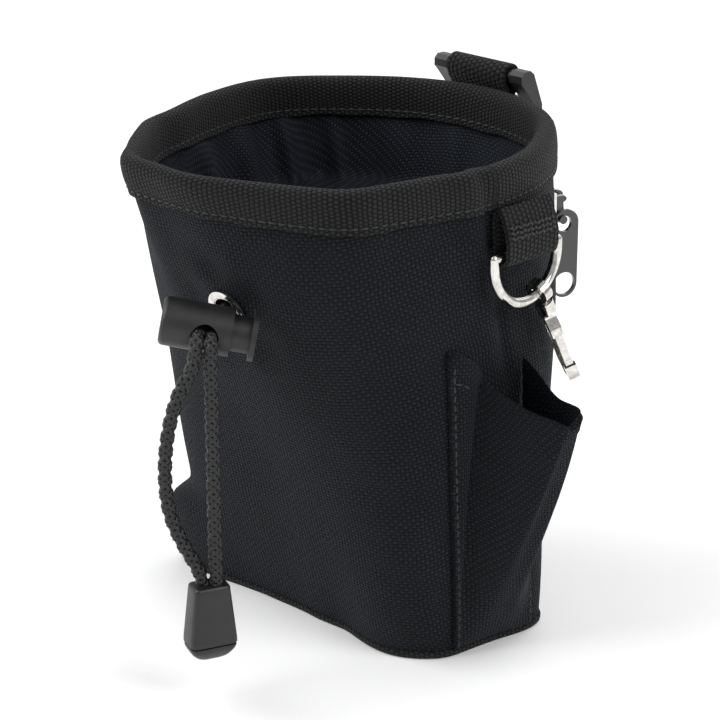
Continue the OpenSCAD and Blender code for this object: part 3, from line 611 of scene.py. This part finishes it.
def pocket_shape(s, t):
    """Height and stand-off of the pocket: flat beside its seam, a slanting valley, then a wide open mouth."""
    valley = 0.04 + 0.33 * t ** 1.3
    u = np.clip((s - valley) / (1 - valley), 0, 1)
    top = (99.5 - 5 * rise(s, 0.04, 0.34) - 12.5 * rise(s, 0.3, 0.5) - 3 * rise(s, 0.48, 0.66)
           + 4 * rise(s, 0.62, 0.86) + 7 * rise(s, 0.86, 1.0))
    flat = 1.2 * np.sin(math.pi * np.clip(s / np.maximum(valley, 0.02), 0, 1)) * t
    belly = rise(u, 0, 0.34) ** 0.7 * (1 - rise(u, 0.62, 1.0)) ** 0.7
    wide = 26.5 * (1 - (1 - t) ** 1.35) * belly - 1.5 * rise(u, 0.02, 0.06) * (1 - rise(u, 0.06, 0.14)) * t
    wide = np.maximum(wide + 1.3 * np.sin(math.pi * u * 3.3) * np.sin(math.pi * t) * t, 0)
    return POCKET_LOW + (top - POCKET_LOW) * t, 0.45 + np.where(s < valley, flat, wide)


s_steps, t_steps = np.linspace(0, 1, 84), np.concatenate([np.linspace(0, 0.975, 66), [0.985, 0.995, 1.0]])
s, t = np.meshgrid(s_steps, t_steps)
z, stand = pocket_shape(s, t)
angle = POCKET_A0 + (POCKET_A1 - POCKET_A0) * s
hem = 0.25 * (t > 0.97)
thick = np.where(t > 0.992, 0.35, 1.25 + 0.5 * (t > 0.93))
inner = cloth(angle, z, 0.0)
normal = outward(angle, z)
normal[..., 2] *= 0.3
outer = inner + normal * (stand + thick)[..., None]
inner = inner + normal * stand[..., None]
verts, faces = slab(outer, inner)
uv = lengths(outer)
pocket_cloth = make("pocket_cloth", verts, faces, outer_cloth, "bag", ["side_pocket"],
                    np.concatenate([uv, uv]))
pocket_outer, pocket_normal = outer, np.gradient(outer, axis=1)
pocket_normal = np.cross(np.gradient(outer, axis=1), np.gradient(outer, axis=0))
pocket_normal /= np.maximum(np.linalg.norm(pocket_normal, axis=2), 1e-9)[..., None]

# ---------------------------------------------------------------- zip at the back
ZIP_Y, ZIP_Z, ZIP_HALF, TAPE_R = -18.4, 121.0, 25.0, 69.45


def arc(r, z, degrees):
    t = np.radians(degrees)
    r, z, t = np.broadcast_arrays(r, z, t)
    return np.stack([r * np.cos(t), ZIP_Y + r * np.sin(t), z], axis=-1)


def arc_sheet(name, r, thickness, z0, z1, mat, node):
    a, z = np.meshgrid(np.linspace(90 - ZIP_HALF, 90 + ZIP_HALF, 90), np.linspace(z0, z1, 9))
    outer = arc(r + thickness, z, a)
    verts, faces = slab(outer, arc(r, z, a))
    uv = lengths(outer)
    return make(name, verts, faces, mat, "bag", [node], np.concatenate([uv, uv]))


arc_sheet("zip_tape_top", TAPE_R, 0.5, ZIP_Z + 0.6, ZIP_Z + 7, tape_cloth, "zip_tape_upper")
arc_sheet("zip_tape_bottom", TAPE_R, 0.5, ZIP_Z - 7, ZIP_Z - 0.6, tape_cloth, "zip_tape_lower")
arc_sheet("zip_facing_cloth", 68.35, 1.0, ZIP_Z + 4.6, ZIP_Z + 9, outer_cloth, "zip_facing")


def coil_row(name, sign, node):
    """One row of the coil: a flattened loop for each tooth."""
    verts, faces = [], []
    turn = np.linspace(0, 2 * math.pi, 10, endpoint=False)
    step = 0.95
    for i, d in enumerate(np.arange(90 - ZIP_HALF + 0.8, 90 + ZIP_HALF - 0.8, step)):
        base = len(verts)
        for off, fat in ((-0.26, 0.55), (-0.12, 1.0), (0.12, 1.0), (0.26, 0.55)):
            for q in turn:
                r = 70.62 + 0.62 * fat * math.sin(q)
                z = ZIP_Z + sign * (1.25 + 0.8 * fat * math.cos(q))
                verts.append(arc(r, z, d + off * 0.9 + (0.5 * step if sign < 0 else 0)))
        for k in range(3):
            for j in range(10):
                m = (j + 1) % 10
                quad = (base + k * 10 + j, base + k * 10 + m, base + (k + 1) * 10 + m, base + (k + 1) * 10 + j)
                faces.append(quad if sign > 0 else quad[::-1])
        faces += [tuple(base + j for j in range(9, -1, -1))[::1 if sign > 0 else -1],
                  tuple(base + 30 + j for j in range(10))[::1 if sign > 0 else -1]]
    return make(name, verts, faces, enamel, "bag", [node])


coil_row("zip_teeth_top", 1, "zip_coil_upper")
coil_row("zip_teeth_bottom", -1, "zip_coil_lower")

s, z = np.meshgrid(np.linspace(0, 1, 70), np.concatenate([np.linspace(30, 110, 50), np.linspace(111, 116.4, 6)]))
to_arc = rise(z, 95, 111)[..., None]
puff = 2.2 * np.sin(math.pi * s) ** 0.6 * np.sin(math.pi * np.clip((z - 30) / 84, 0, 1)) ** 0.7
puff = puff + 0.5 * np.sin(s * 17 + z * 0.13) * np.sin(math.pi * s)
curved = arc(68.35, z, 90 - ZIP_HALF + 2 * ZIP_HALF * s)
low = cloth(60 + 60 * s, z, 0.35)
inner = low * (1 - to_arc) + curved * to_arc
out_dir = outward(60 + 60 * s, z) * (1 - to_arc) + (curved - [0, ZIP_Y, 0]) / 68.35 * to_arc
out_dir[..., 2] = 0
inner = inner + out_dir * (puff * (1 - to_arc[..., 0]))[..., None]
outer = inner + out_dir * 1.0
verts, faces = slab(outer[:, ::1], inner)
uv = lengths(outer)
pouch_cloth = make("zip_pocket_cloth", verts, faces, outer_cloth, "bag", ["zip_pocket_panel"],
                   np.concatenate([uv, uv]))
pouch_outer, pouch_out = outer, out_dir


# ---------------------------------------------------------------- webbing loops
def strap(name, path, place, width, thickness, node, sag=None):
    """Webbing along a path of (across, up) points, drawn out sideways by width."""
    line = fine([[p[0], 0, p[1]] for p in path], 0.6)
    d = np.gradient(line, axis=0)
    d /= np.linalg.norm(d, axis=1)[:, None]
    n = np.stack([-d[:, 2], 0 * d[:, 0], d[:, 0]], axis=1)
    along = np.concatenate([[0], np.cumsum(np.linalg.norm(np.diff(line, axis=0), axis=1))])
    w = np.linspace(-width / 2, width / 2, 40)
    edge = 1 - 0.75 * np.clip((np.abs(w) - width / 2 + 0.7) / 0.7, 0, 1) ** 2
    grids = []
    for sign in (1, -1):
        grid = np.zeros((len(line), len(w), 3))
        for j, x in enumerate(w):
            half = thickness / 2 * edge[j]
            p = line + sign * half * n
            grid[:, j] = place(p[:, 0], x + 0.12 * np.sin(along * 1.7 + x), p[:, 2])
        grids.append(grid)
    verts, faces = slab(*grids)
    uv = np.stack(np.meshgrid(w, along), axis=2).reshape(-1, 2)
    return make(name, verts, faces, strap_cloth, "bag", [node], np.concatenate([uv, uv]))


ring_lo, ring_hi = near("d_ring")
RING_Y = (ring_lo[1] + ring_hi[1]) / 2
RING_X, RING_Z = (ring_lo[0] + ring_hi[0]) / 2, ring_hi[2] - 1.5
loop = [(RING_X + 2.38 * math.cos(q), RING_Z + 2.38 * math.sin(q)) for q in np.radians(np.arange(0, -181, -30))]
dtab_path = [(RING_X - 0.9, 138.6), (RING_X + 0.7, 136), (RING_X + 2.0, 132.5), (RING_X + 2.5, 129)] + loop + [
    (RING_X - 2.3, 129), (RING_X - 2.35, 133), (RING_X - 2.2, 137.6)]


def dtab_place(x, y, z):
    y = RING_Y + y
    return np.stack([x - 0.004 * (y - RING_Y) ** 2 * rise(z, 127, 134), y + 0 * x, z], axis=-1)


strap("dring_loop", dtab_path, dtab_place, 21.5, 1.45, "dring_tab")

clip_lo, clip_hi = near("clip_tab")
CLIP_X, CLIP_Y, CLIP_Z = (clip_lo[0] + clip_hi[0]) / 2, 54.5, 154.2
over = [(CLIP_Y - 3.13 * math.cos(q), CLIP_Z + 3.13 * math.sin(q)) for q in np.radians(np.arange(0, 181, 30))]
clip_path = [(52.4, 142.5), (53.3, 146), (53.75, 149), (52.2, 151.6)] + over + [(57.2, 151), (55.6, 147.2), (54.7, 144.5), (54.15, 142)]
strap("clip_loop", clip_path, lambda y, x, z: np.stack([CLIP_X + x + 0 * y, y, z], axis=-1), 24, 1.4, "clip_tab")

# ---------------------------------------------------------------- cords
CORD_D = 3.6
LOCK_AT = np.array([EYELET[0] + 8.5, EYELET[1] - 16, EYELET[2] + 1.5])
LOCK_TURN = np.radians([8, 11, 44.7])
CORD_HOLE_X = 1.9
HANG_OUT = 13.5 / 2 + 2.2


def turned(p, angles):
    (cx, cy, cz), (sx, sy, sz) = np.cos(angles), np.sin(angles)
    x, y, z = p
    y, z = y * cx - z * sx, y * sx + z * cx
    x, z = x * cy + z * sy, -x * sy + z * cy
    return np.array([x * cz - y * sz, x * sz + y * cz, z])


def lock_pt(x, y, z):
    return LOCK_AT + turned((x, y, z), LOCK_TURN)


HANG_AT = lock_pt(0, -HANG_OUT, 0)
SCREEN = np.array([math.cos(math.radians(44.7)), math.sin(math.radians(44.7)), 0])
STRAND_LOW = 32 - HANG_AT[2]
strand_rows = np.array([0, 4, 9, 13, 22, 32, 42, 50, 57, 62, 66, 70])
strand_bow = np.array([0, 0.6, 2, 4.5, 7.5, 9.2, 9.4, 8.2, 5.6, 3, 1, 0])


def strand(name, side, bow, node):
    points = [HANG_AT + SCREEN * (side * CORD_HOLE_X - b) + [0, 0, -z * -STRAND_LOW / 75] for z, b in zip(strand_rows, bow)]
    points.append(HANG_AT + SCREEN * side * CORD_HOLE_X + [0, 0, STRAND_LOW])
    path = fine(points, 0.45)
    verts, faces = braid(path, CORD_D / 2)
    piece = make(name, verts, faces, cord_yarn, "cord_tail", [node])
    long = float(np.linalg.norm(np.diff(path, axis=0), axis=1).sum())
    return piece, long


def eyelet_pt(x, out):
    return EYELET + np.array([x, -out * math.cos(FRONT_SLOPE), -out * math.sin(FRONT_SLOPE)])


def eyelet_side(s):
    return [eyelet_pt(s * 1.95, 2.6), eyelet_pt(s * 1.95, 0.4), eyelet_pt(s * 1.95, -2.6), eyelet_pt(s * 2.6, -4.3),
            eyelet_pt(s * 4.2, -5.3)]


def lock_side(s):
    out = [lock_pt(s * CORD_HOLE_X * 0.9, -HANG_OUT + 0.15, -1.9), lock_pt(s * CORD_HOLE_X, -HANG_OUT + 0.7, -0.6)]
    return out + [lock_pt(s * CORD_HOLE_X, y, 0) for y in (-6.2, -3, 0, 3, 6.75, 8.25)]


def plain_reach_pt(a, z, o):
    t = math.radians(a)
    r = float(reach(t, z, o)) + float(settle(np.array(float(a)), np.array(float(z))))
    return np.array([r * math.cos(t), -FORWARD * z / RIM_H + r * math.sin(t), z])


ring_path = [plain_reach_pt(a, EYELET[2], -5.6) for a in range(264, -76, -6)]
verts_all, faces_all, offset = [], [], 0
for part, step in ((lock_side(-1) + eyelet_side(-1), 0.45), (lock_side(1) + eyelet_side(1), 0.45),
                   ([eyelet_side(-1)[-1]] + ring_path + [eyelet_side(1)[-1]], 1.2)):
    verts, faces = braid(fine(part, step), CORD_D / 2)
    verts_all.append(verts)
    faces_all += [tuple(i + offset for i in f) for f in faces]
    offset += len(verts)
make("draw_cord_braid", np.vstack(verts_all), faces_all, cord_yarn, "bag", ["draw_cord"])


# ---------------------------------------------------------------- cord end
def cut_block(w, d, c):
    """Outline of a block with rounded corners, in screen-wise coordinates."""
    out = []
    for sx, sy, start in ((1, 1, 0), (-1, 1, 90), (-1, -1, 180), (1, -1, 270)):
        for q in np.radians(start + np.array([0, 30, 60, 90])):
            out.append((sx * (w / 2 - c) + c * math.cos(q), sy * (d / 2 - c) + c * math.sin(q)))
    return np.array(out)


def block(name, levels, mat, body, nodes, caps=(True, True)):
    """Loft of cut blocks; levels are (height, width, depth, corner)."""
    face = math.radians(AZIMUTH - BLOCK_TURN)
    out, right = np.array([math.sin(face), -math.cos(face), 0]), np.array([math.cos(face), math.sin(face), 0])
    verts, n = [], 16
    for z, w, d, c in levels:
        for x, y in cut_block(w, d, c):
            verts.append(HANG_AT * [1, 1, 0] + right * x - out * y + [0, 0, z])
    faces = [(i * n + j, i * n + (j + 1) % n, (i + 1) * n + (j + 1) % n, (i + 1) * n + j)
             for i in range(len(levels) - 1) for j in range(n)]
    faces.append(tuple(range(n - 1, -1, -1)))
    faces.append(tuple((len(levels) - 1) * n + j for j in range(n)))
    piece = make(name, verts, faces, mat, body, nodes)
    piece.data.set_sharp_from_angle(angle=math.radians(50))
    return piece


END_TOP, END_LOW, BLOCK_TURN = 37.0, 19.0, -24.0
block("cord_end_block", [(END_LOW + 0.15, 13.4, 8.4, 1.7), (END_LOW + 0.5, 14, 9, 1.9), (END_LOW + 2, 13.9, 8.95, 1.9),
                         (END_TOP - 2, 10.9, 7.6, 1.5), (END_TOP - 0.7, 10.6, 7.4, 1.4), (END_TOP - 0.2, 10.1, 6.9, 1.2),
                         (END_TOP, 9.2, 6.0, 0.9)], plastic, "cord_tail", ["cord_end", "cord_knot"])
block("cord_end_foot", [(END_LOW - 4.6, 4.6, 2.6, 1.2), (END_LOW - 4.45, 6.8, 3.8, 1.5), (END_LOW - 3.9, 9.0, 5.2, 1.7),
                        (END_LOW - 3.0, 11, 6.6, 1.9), (END_LOW - 1.9, 12.6, 7.8, 1.9), (END_LOW - 0.7, 13.6, 8.7, 1.9),
                        (END_LOW - 0.15, 13.5, 8.5, 1.7)],
      plastic, "cord_tail", ["cord_end_cap"])
left_strand, left_long = strand("cord_left", -1, strand_bow, "cord_strand_left")
right_strand, right_long = strand("cord_right", 1, 0 * strand_bow, "cord_strand_right")

# ---------------------------------------------------------------- stitching
around = np.arange(0, 360.1, 1.0)
lines = [on_cloth(around, 139.95, 1.2), (cloth(around, 139.95, -4.08), -outward(around, around * 0 + 139.95)),
         on_cloth(np.arange(142, 399, 1.0), 103.5, 0.05), on_cloth(np.arange(142, 399, 1.0), 112.5, 0.05)]
lines = lines[:2]
up = t_steps[t_steps < 0.97]
for column, drop in ((3, 0), (len(s_steps) - 4, 0)):
    keep = t_steps < 0.965
    lines.append((pocket_outer[keep, column], pocket_normal[keep, column]))
for row in (len(t_steps) - 9,):
    lines.append((pocket_outer[row, 3:16], pocket_normal[row, 3:16]))
for column in (3, pouch_outer.shape[1] - 4):
    lines.append((pouch_outer[2:-6, column], pouch_out[2:-6, column]))
for row in (2,):
    lines.append((pouch_outer[row, 3:-3], pouch_out[row, 3:-3]))
for r, z in ((68.35 + 1.0, ZIP_Z - 6.0), (TAPE_R + 0.5, ZIP_Z + 6.2)):
    a = np.linspace(90 - ZIP_HALF + 1, 90 + ZIP_HALF - 1, 60)
    p = arc(r + 0.55 * (z < ZIP_Z), z, a)
    lines.append((p, arc(1.0, 0.0, a) - [0, ZIP_Y, 0]))
verts, faces = stitches(lines)
make("stitching", verts, faces, thread_yarn, "bag")

ys = np.linspace(-9.6, 9.6, 24)
tack = []
for z, x in ((130.4, RING_X + 3.12), (131.8, RING_X + 2.95), (133.2, RING_X + 2.6)):
    p = dtab_place(x + 0 * ys, ys, z + 0.35 * np.sign(np.sin(ys * 2.6)))
    tack.append((p, np.tile([0.97, 0, 0.25], (len(ys), 1))))
verts, faces = stitches(tack, radius=0.36, long=1.8, pitch=1.85)
make("dring_bar_tack", verts, faces, thread_yarn, "bag")


# ---------------------------------------------------------------- CAD pieces that stay
def keep(node, mat, width=0.0, angle=35):
    """Soft edges and smooth shading on a CAD node, and its material."""
    piece = next(o for o in bpy.context.scene.objects if o.get("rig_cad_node") == node)
    piece.data.materials.clear()
    piece.data.materials.append(mat)
    piece.data.polygons.foreach_set("use_smooth", [True] * len(piece.data.polygons))
    piece.data.set_sharp_from_angle(angle=math.radians(30))
    if width:
        mod = piece.modifiers.new("soft_edges", "BEVEL")
        mod.width = width * MM
        mod.segments = 2
        mod.limit_method = "ANGLE"
        mod.angle_limit = math.radians(angle)
        mod.harden_normals = True
        mod.use_clamp_overlap = True


for node, mat, width in (
        ("lock_barrel", plastic, 0.35), ("lock_plunger", plastic, 0.25), ("lock_spring", nickel, 0),
        ("belt_clip", plastic, 0.5), ("zip_slider", enamel, 0.2), ("zip_link", enamel, 0.15), ("zip_pull", enamel, 0.2),
        ("zip_stop_left", nickel, 0.1), ("zip_stop_right", nickel, 0.1), ("d_ring", nickel, 0), ("snap_eye", nickel, 0.3),
        ("snap_body", nickel, 0.35), ("snap_gate", nickel, 0.2), ("snap_pin", nickel, 0), ("eyelet", nickel, 0),
        ("eyelet_washer", nickel, 0)):
    keep(node, mat, width)
spring = next(o for o in bpy.context.scene.objects if o.get("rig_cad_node") == "lock_spring")
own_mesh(spring)

# ---------------------------------------------------------------- floor, lights
floor_mat, nt, shader = new_material("floor")
point = object_point(nt)
put(nt, ramp(nt, noise(nt, point, 0.01, 3), [(0.3, (0.90, 0.90, 0.90)), (0.7, (0.93, 0.93, 0.93))]), shader.inputs["Base Color"])
shader.inputs["Roughness"].default_value = 0.6
floor = bpy.data.meshes.new("floor")
size = 6.0
floor.from_pydata([(-size, -size, 0), (size, -size, 0), (size, size, 0), (-size, size, 0)], [], [(0, 1, 2, 3)])
floor.materials.append(floor_mat)
floor_piece = bpy.data.objects.new("floor", floor)
bpy.context.scene.collection.objects.link(floor_piece)


def area_light(name, where, size, power):
    lamp = bpy.data.lights.new(name, "AREA")
    lamp.size = size
    lamp.energy = power
    piece = bpy.data.objects.new(name, lamp)
    bpy.context.scene.collection.objects.link(piece)
    piece.location = where
    piece.rotation_euler = (Vector((0, 0, 0.07)) - Vector(where)).to_track_quat("-Z", "Y").to_euler()


area_light("key", (-0.75, -0.95, 1.15), 1.5, 26)
area_light("fill", (1.1, 0.1, 0.9), 0.7, 10)
area_light("back", (-0.3, 1.2, 1.4), 2.2, 16)
world = bpy.data.worlds.new("studio")
bpy.context.scene.world = world
world.use_nodes = True
world.node_tree.nodes["Background"].inputs[0].default_value = (1, 1, 1, 1)
world.node_tree.nodes["Background"].inputs[1].default_value = 0.5

bpy.context.view_layer.update()
